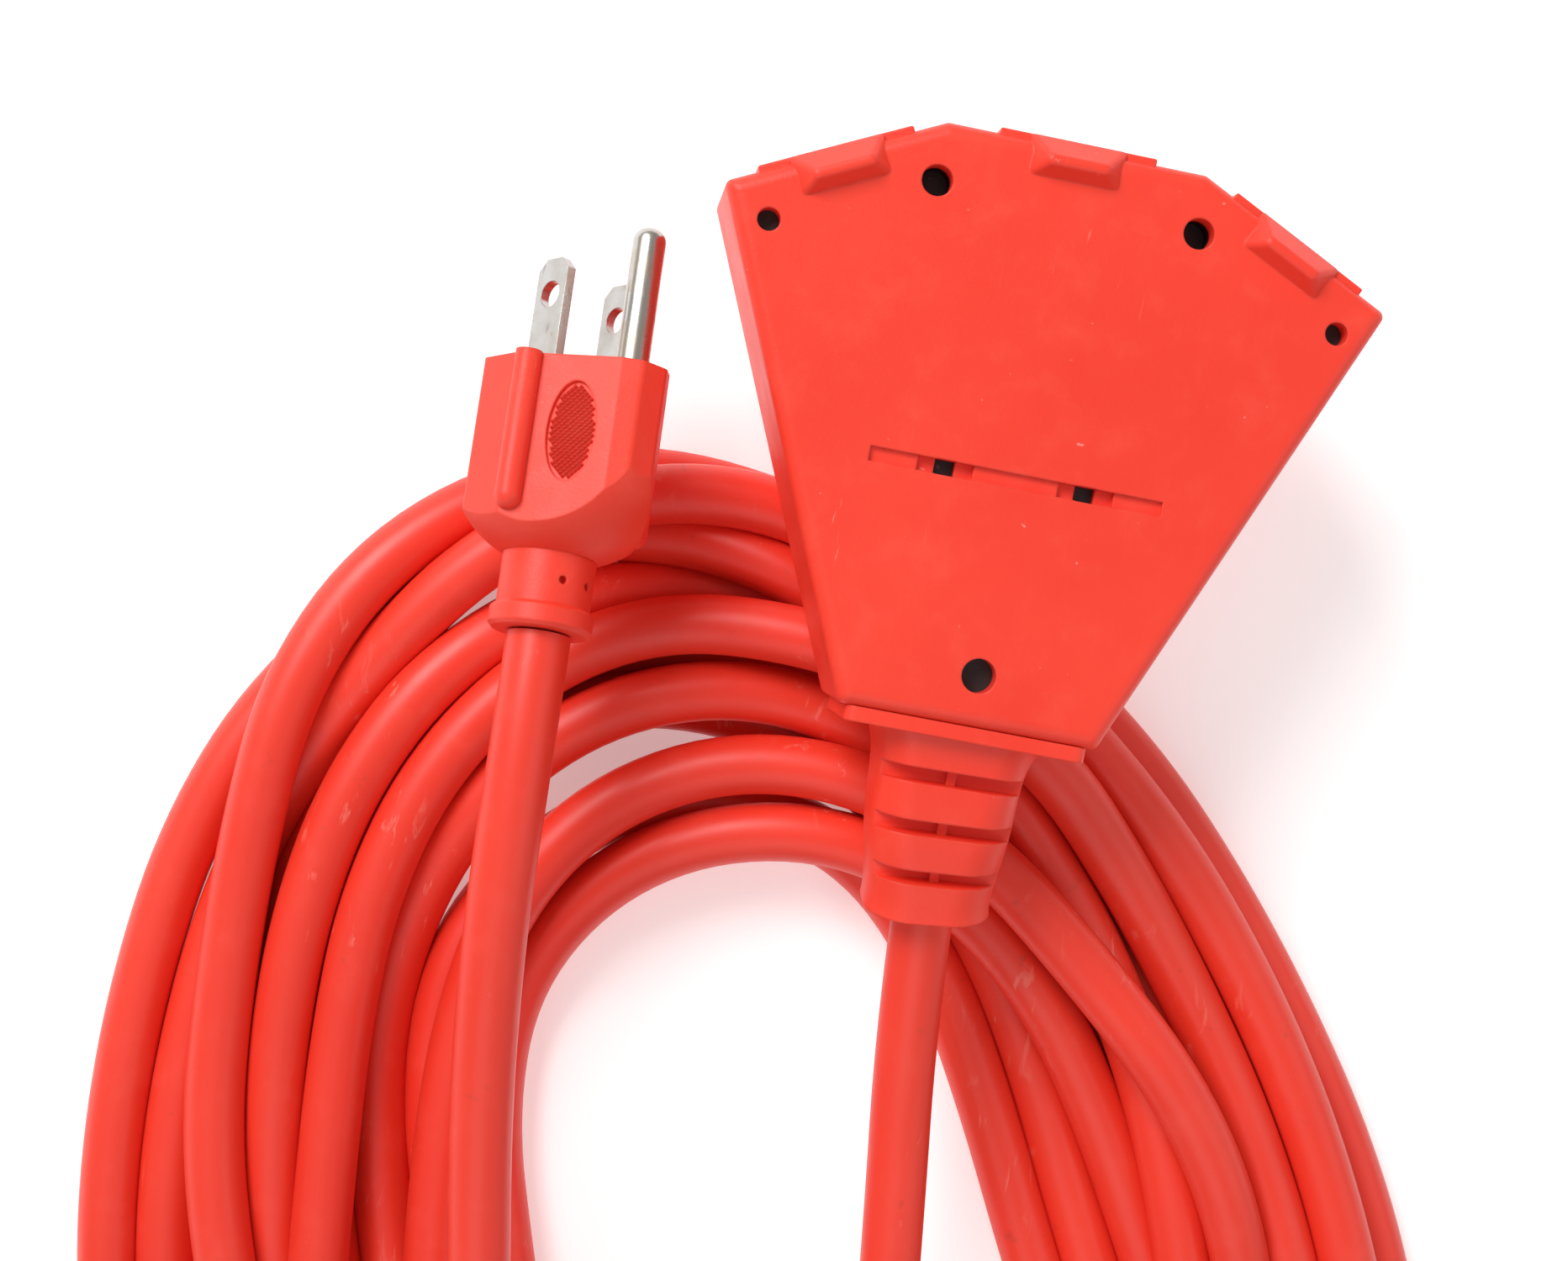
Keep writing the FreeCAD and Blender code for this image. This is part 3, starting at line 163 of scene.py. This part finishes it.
points = [row(p) for p in FAN_LEAD] + [Vector(p) for p in COIL] + [row(p) for p in reversed(PLUG_LEAD)]
curve = bpy.data.curves.new("cord_run", "CURVE")
curve.dimensions = "3D"
curve.resolution_u = 7
curve.bevel_depth = DIAMETER / 2
curve.bevel_resolution = 7
curve.use_fill_caps = True
spline = curve.splines.new("NURBS")
spline.points.add(len(points) - 1)
for sp, co in zip(spline.points, points):
    sp.co = (co.x, co.y, co.z, 1.0)
    sp.tilt = 0.0
spline.order_u = 3
spline.use_endpoint_u = True
spline.use_smooth = True
cord = bpy.data.objects.new("cord_run", curve)
scene.collection.objects.link(cord)


# ---------------------------------------------------------------- node helpers
def new_mat(name):
    mat = bpy.data.materials.new(name)
    mat.use_nodes = True
    nt = mat.node_tree
    nt.nodes.clear()
    out = nt.nodes.new("ShaderNodeOutputMaterial")
    bsdf = nt.nodes.new("ShaderNodeBsdfPrincipled")
    nt.links.new(bsdf.outputs["BSDF"], out.inputs["Surface"])
    return mat, nt, bsdf


def coords(nt, scale=(1, 1, 1), rot=(0, 0, 0), loc=(0, 0, 0)):
    tc = nt.nodes.new("ShaderNodeTexCoord")
    mp = nt.nodes.new("ShaderNodeMapping")
    mp.inputs["Scale"].default_value = scale
    mp.inputs["Rotation"].default_value = rot
    mp.inputs["Location"].default_value = loc
    nt.links.new(tc.outputs["Object"], mp.inputs["Vector"])
    return mp.outputs["Vector"]


def noise(nt, vec, scale, detail=3.0, rough=0.55, dist=0.0):
    n = nt.nodes.new("ShaderNodeTexNoise")
    n.inputs["Scale"].default_value = scale
    n.inputs["Detail"].default_value = detail
    n.inputs["Roughness"].default_value = rough
    n.inputs["Distortion"].default_value = dist
    nt.links.new(vec, n.inputs["Vector"])
    return n.outputs["Fac"]


def ramp(nt, fac, stops):
    r = nt.nodes.new("ShaderNodeValToRGB")
    els = r.color_ramp.elements
    while len(els) < len(stops):
        els.new(0.5)
    for e, (pos, val) in zip(els, stops):
        e.position = pos
        e.color = (val, val, val, 1.0) if isinstance(val, (int, float)) else (*val, 1.0)
    nt.links.new(fac, r.inputs["Fac"])
    return r.outputs["Color"]


def mix(nt, fac, a, b, blend="MIX"):
    n = nt.nodes.new("ShaderNodeMix")
    n.data_type = "RGBA"
    n.blend_type = blend
    n.clamp_factor = True
    ins = [s for s in n.inputs if s.type == "RGBA"]
    for s, v in ((ins[0], a), (ins[1], b)):
        if isinstance(v, tuple):
            s.default_value = (*v, 1.0)
        else:
            nt.links.new(v, s)
    f = n.inputs[0]
    if isinstance(fac, (int, float)):
        f.default_value = fac
    else:
        nt.links.new(fac, f)
    return [s for s in n.outputs if s.type == "RGBA"][0]


def math_node(nt, op, a, b=None, clamp=False):
    n = nt.nodes.new("ShaderNodeMath")
    n.operation = op
    n.use_clamp = clamp
    for i, v in enumerate((a, b)):
        if v is None:
            continue
        if isinstance(v, (int, float)):
            n.inputs[i].default_value = v
        else:
            nt.links.new(v, n.inputs[i])
    return n.outputs[0]


def span(nt, fac, lo, hi, a=0.0, b=1.0):
    n = nt.nodes.new("ShaderNodeMapRange")
    n.clamp = True
    for k, v in (("From Min", lo), ("From Max", hi), ("To Min", a), ("To Max", b)):
        n.inputs[k].default_value = v
    nt.links.new(fac, n.inputs["Value"])
    return n.outputs["Result"]


def bump(nt, height, strength, distance, normal=None):
    n = nt.nodes.new("ShaderNodeBump")
    n.inputs["Strength"].default_value = strength
    n.inputs["Distance"].default_value = distance
    nt.links.new(height, n.inputs["Height"])
    if normal is not None:
        nt.links.new(normal, n.inputs["Normal"])
    return n.outputs["Normal"]


def soft_edge(nt, radius, samples=4):
    """rounded-looking edges, and a mask of where they are"""
    bv = nt.nodes.new("ShaderNodeBevel")
    bv.samples = samples
    bv.inputs["Radius"].default_value = radius
    geo = nt.nodes.new("ShaderNodeNewGeometry")
    dot = nt.nodes.new("ShaderNodeVectorMath")
    dot.operation = "DOT_PRODUCT"
    nt.links.new(bv.outputs["Normal"], dot.inputs[0])
    nt.links.new(geo.outputs["Normal"], dot.inputs[1])
    edge = span(nt, dot.outputs["Value"], 0.995, 0.86, 0.0, 1.0)
    return bv.outputs["Normal"], edge


# ---------------------------------------------------------------- materials
def red_plastic(name, base, deep, pale, rough=(0.36, 0.50), grain=2300.0, grain_amt=0.26, edge_r=0.00045, wear=0.5,
                wave=0.25):
    mat, nt, b = new_mat(name)
    v = coords(nt)
    big = noise(nt, v, 22.0, 3.0, 0.55, 0.4)
    mid = noise(nt, v, 140.0, 5.0, 0.6, 0.2)
    fine = noise(nt, v, grain, 2.0, 0.5)
    specks = noise(nt, coords(nt, loc=(3.1, 1.7, 0.4)), 620.0, 2.0, 0.5)
    scr = noise(nt, coords(nt, scale=(1.0, 0.12, 1.0), rot=(0, 0, 0.7)), 900.0, 3.0, 0.6, 0.6)
    scr_zone = noise(nt, coords(nt, loc=(0.7, 0.2, 0.9)), 38.0, 2.0, 0.5)
    col = mix(nt, span(nt, big, 0.30, 0.70), base, deep)
    col = mix(nt, span(nt, mid, 0.52, 0.80, 0.0, 0.22), col, pale)
    # dust specks and a few pale scuffs
    dots = span(nt, specks, 0.755, 0.80, 0.0, 0.42)
    col = mix(nt, dots, col, (0.95, 0.46, 0.38))
    sc = math_node(nt, "MULTIPLY", span(nt, scr, 0.68, 0.76), span(nt, scr_zone, 0.57, 0.69), True)
    col = mix(nt, math_node(nt, "MULTIPLY", sc, 0.30), col, (0.98, 0.48, 0.40))
    nrm, edge = soft_edge(nt, edge_r)
    rub = math_node(nt, "MULTIPLY", edge, span(nt, mid, 0.40, 0.62), True)
    col = mix(nt, math_node(nt, "MULTIPLY", rub, wear), col, pale)
    nt.links.new(col, b.inputs["Base Color"])
    r = span(nt, mid, 0.25, 0.75, rough[0], rough[1])
    r = math_node(nt, "ADD", r, math_node(nt, "MULTIPLY", sc, 0.14))
    nt.links.new(r, b.inputs["Roughness"])
    n1 = bump(nt, big, wave, 0.0012, nrm)
    n2 = bump(nt, fine, grain_amt, 0.00012, n1)
    n3 = bump(nt, specks, 0.05, 0.00010, n2)
    nt.links.new(n3, b.inputs["Normal"])
    b.inputs["Specular IOR Level"].default_value = 0.42
    b.inputs["Subsurface Weight"].default_value = 0.06
    b.inputs["Subsurface Radius"].default_value = (0.004, 0.0008, 0.0005)
    b.inputs["Subsurface Scale"].default_value = 0.5
    return mat


BLOCK = red_plastic("block_pvc", (0.90, 0.053, 0.026), (0.84, 0.040, 0.019), (0.95, 0.118, 0.070), wear=0.35)
PLUGM = red_plastic("plug_pvc", (0.90, 0.056, 0.029), (0.83, 0.043, 0.021), (0.95, 0.138, 0.085), rough=(0.40, 0.54),
                    wear=0.40, wave=0.15)


def jacket():
    mat, nt, b = new_mat("jacket_pvc")
    v = coords(nt)
    big = noise(nt, v, 16.0, 2.0, 0.5)
    mid = noise(nt, v, 120.0, 4.0, 0.6)
    drag = noise(nt, coords(nt, scale=(1.0, 0.22, 1.0), rot=(0.0, 0.0, 0.25)), 420.0, 4.0, 0.6, 0.8)
    zone = noise(nt, coords(nt, loc=(1.3, 2.2, 0.1)), 30.0, 2.0, 0.5)
    fine = noise(nt, v, 2600.0, 2.0, 0.5)
    col = mix(nt, span(nt, big, 0.30, 0.70), (0.86, 0.050, 0.025), (0.78, 0.034, 0.016))
    col = mix(nt, span(nt, mid, 0.54, 0.78, 0.0, 0.20), col, (0.92, 0.110, 0.075))
    sc = math_node(nt, "MULTIPLY", span(nt, drag, 0.60, 0.70), span(nt, zone, 0.55, 0.66), True)
    col = mix(nt, math_node(nt, "MULTIPLY", sc, 0.45), col, (0.90, 0.33, 0.25))
    dirt = math_node(nt, "MULTIPLY", span(nt, noise(nt, coords(nt, loc=(5, 1, 2)), 260.0, 4.0, 0.65), 0.64, 0.74),
                     span(nt, zone, 0.40, 0.52), True)
    col = mix(nt, math_node(nt, "MULTIPLY", dirt, 0.30), col, (0.30, 0.05, 0.03))
    nt.links.new(col, b.inputs["Base Color"])
    r = span(nt, mid, 0.25, 0.75, 0.38, 0.50)
    r = math_node(nt, "ADD", r, math_node(nt, "MULTIPLY", sc, 0.18))
    nt.links.new(r, b.inputs["Roughness"])
    # the three wound conductors show very slightly through the jacket
    uv = nt.nodes.new("ShaderNodeTexCoord")
    sep = nt.nodes.new("ShaderNodeSeparateXYZ")
    nt.links.new(uv.outputs["UV"], sep.inputs[0])
    ph = math_node(nt, "ADD", math_node(nt, "MULTIPLY", sep.outputs["X"], 7.62 / 0.085 * 2 * math.pi),
                   math_node(nt, "MULTIPLY", sep.outputs["Y"], 6 * math.pi))
    lay = math_node(nt, "SINE", ph)
    n0 = bump(nt, lay, 0.10, 0.00022)
    n1 = bump(nt, mid, 0.10, 0.0003, n0)
    n2 = bump(nt, fine, 0.05, 0.00006, n1)
    n3 = bump(nt, drag, 0.06, 0.00008, n2)
    nt.links.new(n3, b.inputs["Normal"])
    b.inputs["Specular IOR Level"].default_value = 0.45
    b.inputs["Subsurface Weight"].default_value = 0.05
    b.inputs["Subsurface Radius"].default_value = (0.003, 0.0006, 0.0004)
    b.inputs["Subsurface Scale"].default_value = 0.5
    b.inputs["Coat Weight"].default_value = 0.06
    b.inputs["Coat Roughness"].default_value = 0.28
    return mat


JACKET = jacket()


def hard_plastic(name, a, c, rough=(0.34, 0.5)):
    mat, nt, b = new_mat(name)
    v = coords(nt)
    mid = noise(nt, v, 260.0, 4.0, 0.6)
    fine = noise(nt, v, 2400.0, 2.0, 0.5)
    dust = noise(nt, coords(nt, loc=(2, 0, 1)), 700.0, 2.0, 0.5)
    col = mix(nt, span(nt, mid, 0.3, 0.7), a, c)
    col = mix(nt, span(nt, dust, 0.70, 0.76, 0.0, 0.25), col, tuple(min(1.0, x + 0.25) for x in a))
    nrm, edge = soft_edge(nt, 0.0002)
    nt.links.new(col, b.inputs["Base Color"])
    nt.links.new(span(nt, mid, 0.25, 0.75, rough[0], rough[1]), b.inputs["Roughness"])
    n1 = bump(nt, fine, 0.10, 0.0001, nrm)
    nt.links.new(n1, b.inputs["Normal"])
    return mat


CORE = hard_plastic("core_black", (0.010, 0.010, 0.011), (0.022, 0.020, 0.020), (0.40, 0.60))
WHITE = hard_plastic("insulation_white", (0.80, 0.79, 0.75), (0.72, 0.71, 0.66))
BLACKW = hard_plastic("insulation_black", (0.012, 0.012, 0.013), (0.025, 0.024, 0.024))
GREENW = hard_plastic("insulation_green", (0.03, 0.24, 0.07), (0.025, 0.19, 0.055))


def metal(name, base, tint, rough=(0.22, 0.40), streak=(1.0, 0.05, 1.0), tint_amt=0.5, dents=0.10):
    mat, nt, b = new_mat(name)
    b.inputs["Metallic"].default_value = 1.0
    rot = (0.2, 0.0, 0.043)
    brush = noise(nt, coords(nt, scale=streak, rot=rot), 2600.0, 3.0, 0.6)
    scr = noise(nt, coords(nt, scale=(1.0, 0.10, 1.0), rot=(0.2, 0.0, 0.12), loc=(0.3, 0.9, 0.2)), 1500.0, 3.0, 0.6, 0.3)
    blot = noise(nt, coords(nt), 240.0, 4.0, 0.6)
    pit = noise(nt, coords(nt, loc=(1, 2, 3)), 1100.0, 3.0, 0.6)
    col = mix(nt, span(nt, blot, 0.42, 0.72, 0.0, tint_amt), base, tint)
    col = mix(nt, span(nt, scr, 0.62, 0.70, 0.0, 0.45), col, tuple(x * 0.45 for x in base))
    col = mix(nt, span(nt, pit, 0.66, 0.74, 0.0, 0.40), col, tuple(x * 0.35 for x in tint))
    nrm, edge = soft_edge(nt, 0.00018)
    nt.links.new(col, b.inputs["Base Color"])
    r = span(nt, blot, 0.3, 0.7, rough[0], rough[1])
    r = math_node(nt, "ADD", r, span(nt, scr, 0.60, 0.72, 0.0, 0.15))
    nt.links.new(r, b.inputs["Roughness"])
    n1 = bump(nt, brush, 0.12, 0.00004, nrm)
    n2 = bump(nt, pit, dents, 0.00006, n1)
    n3 = bump(nt, scr, 0.10, 0.00004, n2)
    nt.links.new(n3, b.inputs["Normal"])
    return mat


BLADE = metal("plated_blade", (0.52, 0.505, 0.485), (0.42, 0.37, 0.29))
PIN = metal("plated_pin", (0.56, 0.54, 0.51), (0.46, 0.35, 0.22), rough=(0.20, 0.34), tint_amt=0.6)
BRASS = metal("contact_brass", (0.78, 0.56, 0.24), (0.62, 0.42, 0.18), rough=(0.25, 0.42))
TIN = metal("crimp_tin", (0.66, 0.65, 0.63), (0.50, 0.48, 0.44), rough=(0.30, 0.45))


def put(obj, mat):
    obj.data.materials.clear()
    obj.data.materials.append(mat)


node_objs = frame["nodes"]


def node(name):
    o = node_objs[name] if isinstance(node_objs, dict) else bpy.data.objects[name]
    return o if hasattr(o, "data") else bpy.data.objects[name]


finish_of = {
    "outlet_overmould": BLOCK, "outlet_strain_relief": BLOCK, "core_front_half": CORE, "core_rear_half": CORE,
    "plug_overmould": PLUGM, "plug_strain_relief": PLUGM, "plug_bridge": CORE,
    "line_blade": BLADE, "neutral_blade": BLADE, "ground_pin": PIN,
}
for side in ("line", "neutral", "ground"):
    wire = {"line": BLACKW, "neutral": WHITE, "ground": GREENW}[side]
    finish_of[side + "_bus_strip"] = BRASS
    for where in ("left", "centre", "right"):
        finish_of[side + "_contact_" + where] = BRASS
    finish_of[side + "_crimp"] = TIN
    finish_of[side + "_plug_crimp"] = TIN
    finish_of[side + "_wire_outlet_end"] = wire
    finish_of[side + "_wire_plug_end"] = wire
for name, mat in finish_of.items():
    put(node(name), mat)
for name in ("fan_lead", "plug_lead", "cord_coil"):
    put(node(name), JACKET)

# ---------------------------------------------------------------- knurled pads in the plug's two oval grips
def pv(a, d, b):
    return Vector((a, d, b))


face = Vector((-63.04, 38.58, 34.95))
tail = Vector((-61.46, 1.59, 42.6))
d_ = (face - tail).normalized()
b_ = Vector((0.63, 0.0, 0.78))
b_ = (b_ - d_ * b_.dot(d_)).normalized()
a_ = d_.cross(b_)


def plug_point(a, d, b):
    return (face + a_ * a + d_ * d + b_ * b + OFF) / 1000.0


verts, faces = [], []
for sx in (-1, 1):
    nrm = (sx * 0.866, 0.0, 0.5)
    side = (0.5, 0.0, -sx * 0.866)
    mid = (sx * 7.6, -11.0, 9.8)
    pitch, tall, sunk = 0.86, 0.66, 0.62
    for i in range(-12, 13):
        for j in range(-12, 13):
            u = (i + j) * pitch * 0.5
            v = (i - j) * pitch * 0.5
            if (u / 6.75) ** 2 + (v / 3.1) ** 2 > 1.0:
                continue
            h = pitch * 0.5
            base = [(u + h, v), (u, v + h), (u - h, v), (u, v - h)]
            top = [(u + h * 0.22, v), (u, v + h * 0.22), (u - h * 0.22, v), (u, v - h * 0.22)]
            k = len(verts)
            for (uu, vv), lift in [(q, -sunk - 0.02) for q in base] + [(q, -sunk + tall) for q in top]:
                p = [mid[n] + nrm[n] * lift + side[n] * vv for n in range(3)]
                verts.append(plug_point(p[0], p[1] + uu, p[2]))
            faces += [(k + 4, k + 5, k + 6, k + 7), (k + 3, k + 2, k + 1, k)]
            for n in range(4):
                faces.append((k + n, k + (n + 1) % 4, k + 4 + (n + 1) % 4, k + 4 + n))
kn_me = bpy.data.meshes.new("plug_grip_knurl")
kn_me.from_pydata([tuple(v) for v in verts], [], faces)
kn_me.update()
bm = bmesh.new()
bm.from_mesh(kn_me)
bmesh.ops.recalc_face_normals(bm, faces=bm.faces)
bm.to_mesh(kn_me)
bm.free()
knurl = bpy.data.objects.new("plug_grip_knurl", kn_me)
scene.collection.objects.link(knurl)
kn_me.materials.append(PLUGM)
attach(knurl, "root")


curve.materials.append(JACKET)
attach(cord, "root")
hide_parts("fan_lead", "cord_coil", "plug_lead")
on_cord = ["plug_overmould", "plug_strain_relief", "plug_bridge", "line_blade", "neutral_blade", "ground_pin", knurl]
for side in ("line", "neutral", "ground"):
    on_cord += [side + "_plug_crimp", side + "_wire_plug_end"]


# ---------------------------------------------------------------- floor and light
def floor_mat():
    mat, nt, b = new_mat("floor_pale")
    v = coords(nt)
    n = noise(nt, v, 9.0, 3.0, 0.5)
    col = mix(nt, span(nt, n, 0.3, 0.7), (0.93, 0.93, 0.93), (0.90, 0.90, 0.90))
    nt.links.new(col, b.inputs["Base Color"])
    b.inputs["Roughness"].default_value = 0.85
    b.inputs["Specular IOR Level"].default_value = 0.15
    b.inputs["Emission Color"].default_value = (1.0, 1.0, 1.0, 1.0)
    b.inputs["Emission Strength"].default_value = 0.32
    return mat


FLOOR_Z = -0.0461
me = bpy.data.meshes.new("studio_floor")
bm = bmesh.new()
bmesh.ops.create_grid(bm, x_segments=8, y_segments=8, size=3.0)
bm.to_mesh(me)
bm.free()
floor = bpy.data.objects.new("studio_floor", me)
scene.collection.objects.link(floor)
floor.location = (0.0, 0.0, FLOOR_Z - 0.0001)
me.materials.append(floor_mat())


def area(name, loc, target, size, power, tint=(1, 1, 1), size_y=None):
    d = bpy.data.lights.new(name, "AREA")
    d.energy = power
    d.color = tint
    d.shape = "RECTANGLE"
    d.size = size
    d.size_y = size_y or size
    o = bpy.data.objects.new(name, d)
    scene.collection.objects.link(o)
    o.location = loc
    dirn = Vector(target) - Vector(loc)
    o.rotation_euler = dirn.to_track_quat("-Z", "Y").to_euler()
    return o


KEY = 0.97
area("key_box", (-0.80, 0.70, 1.05), (-0.03, -0.08, 0.0), 0.80, 21.5 * KEY)
area("fill_box", (1.1, -0.1, 0.9), (0.0, -0.1, 0.0), 1.0, 2.8 * KEY)
area("front_box", (-0.1, -1.1, 1.0), (0.0, -0.1, 0.0), 1.0, 3.6 * KEY)
world = bpy.data.worlds.new("studio_world")
scene.world = world
world.use_nodes = True
bg = world.node_tree.nodes["Background"]
bg.inputs["Color"].default_value = (1.0, 1.0, 1.0, 1.0)
bg.inputs["Strength"].default_value = 0.38

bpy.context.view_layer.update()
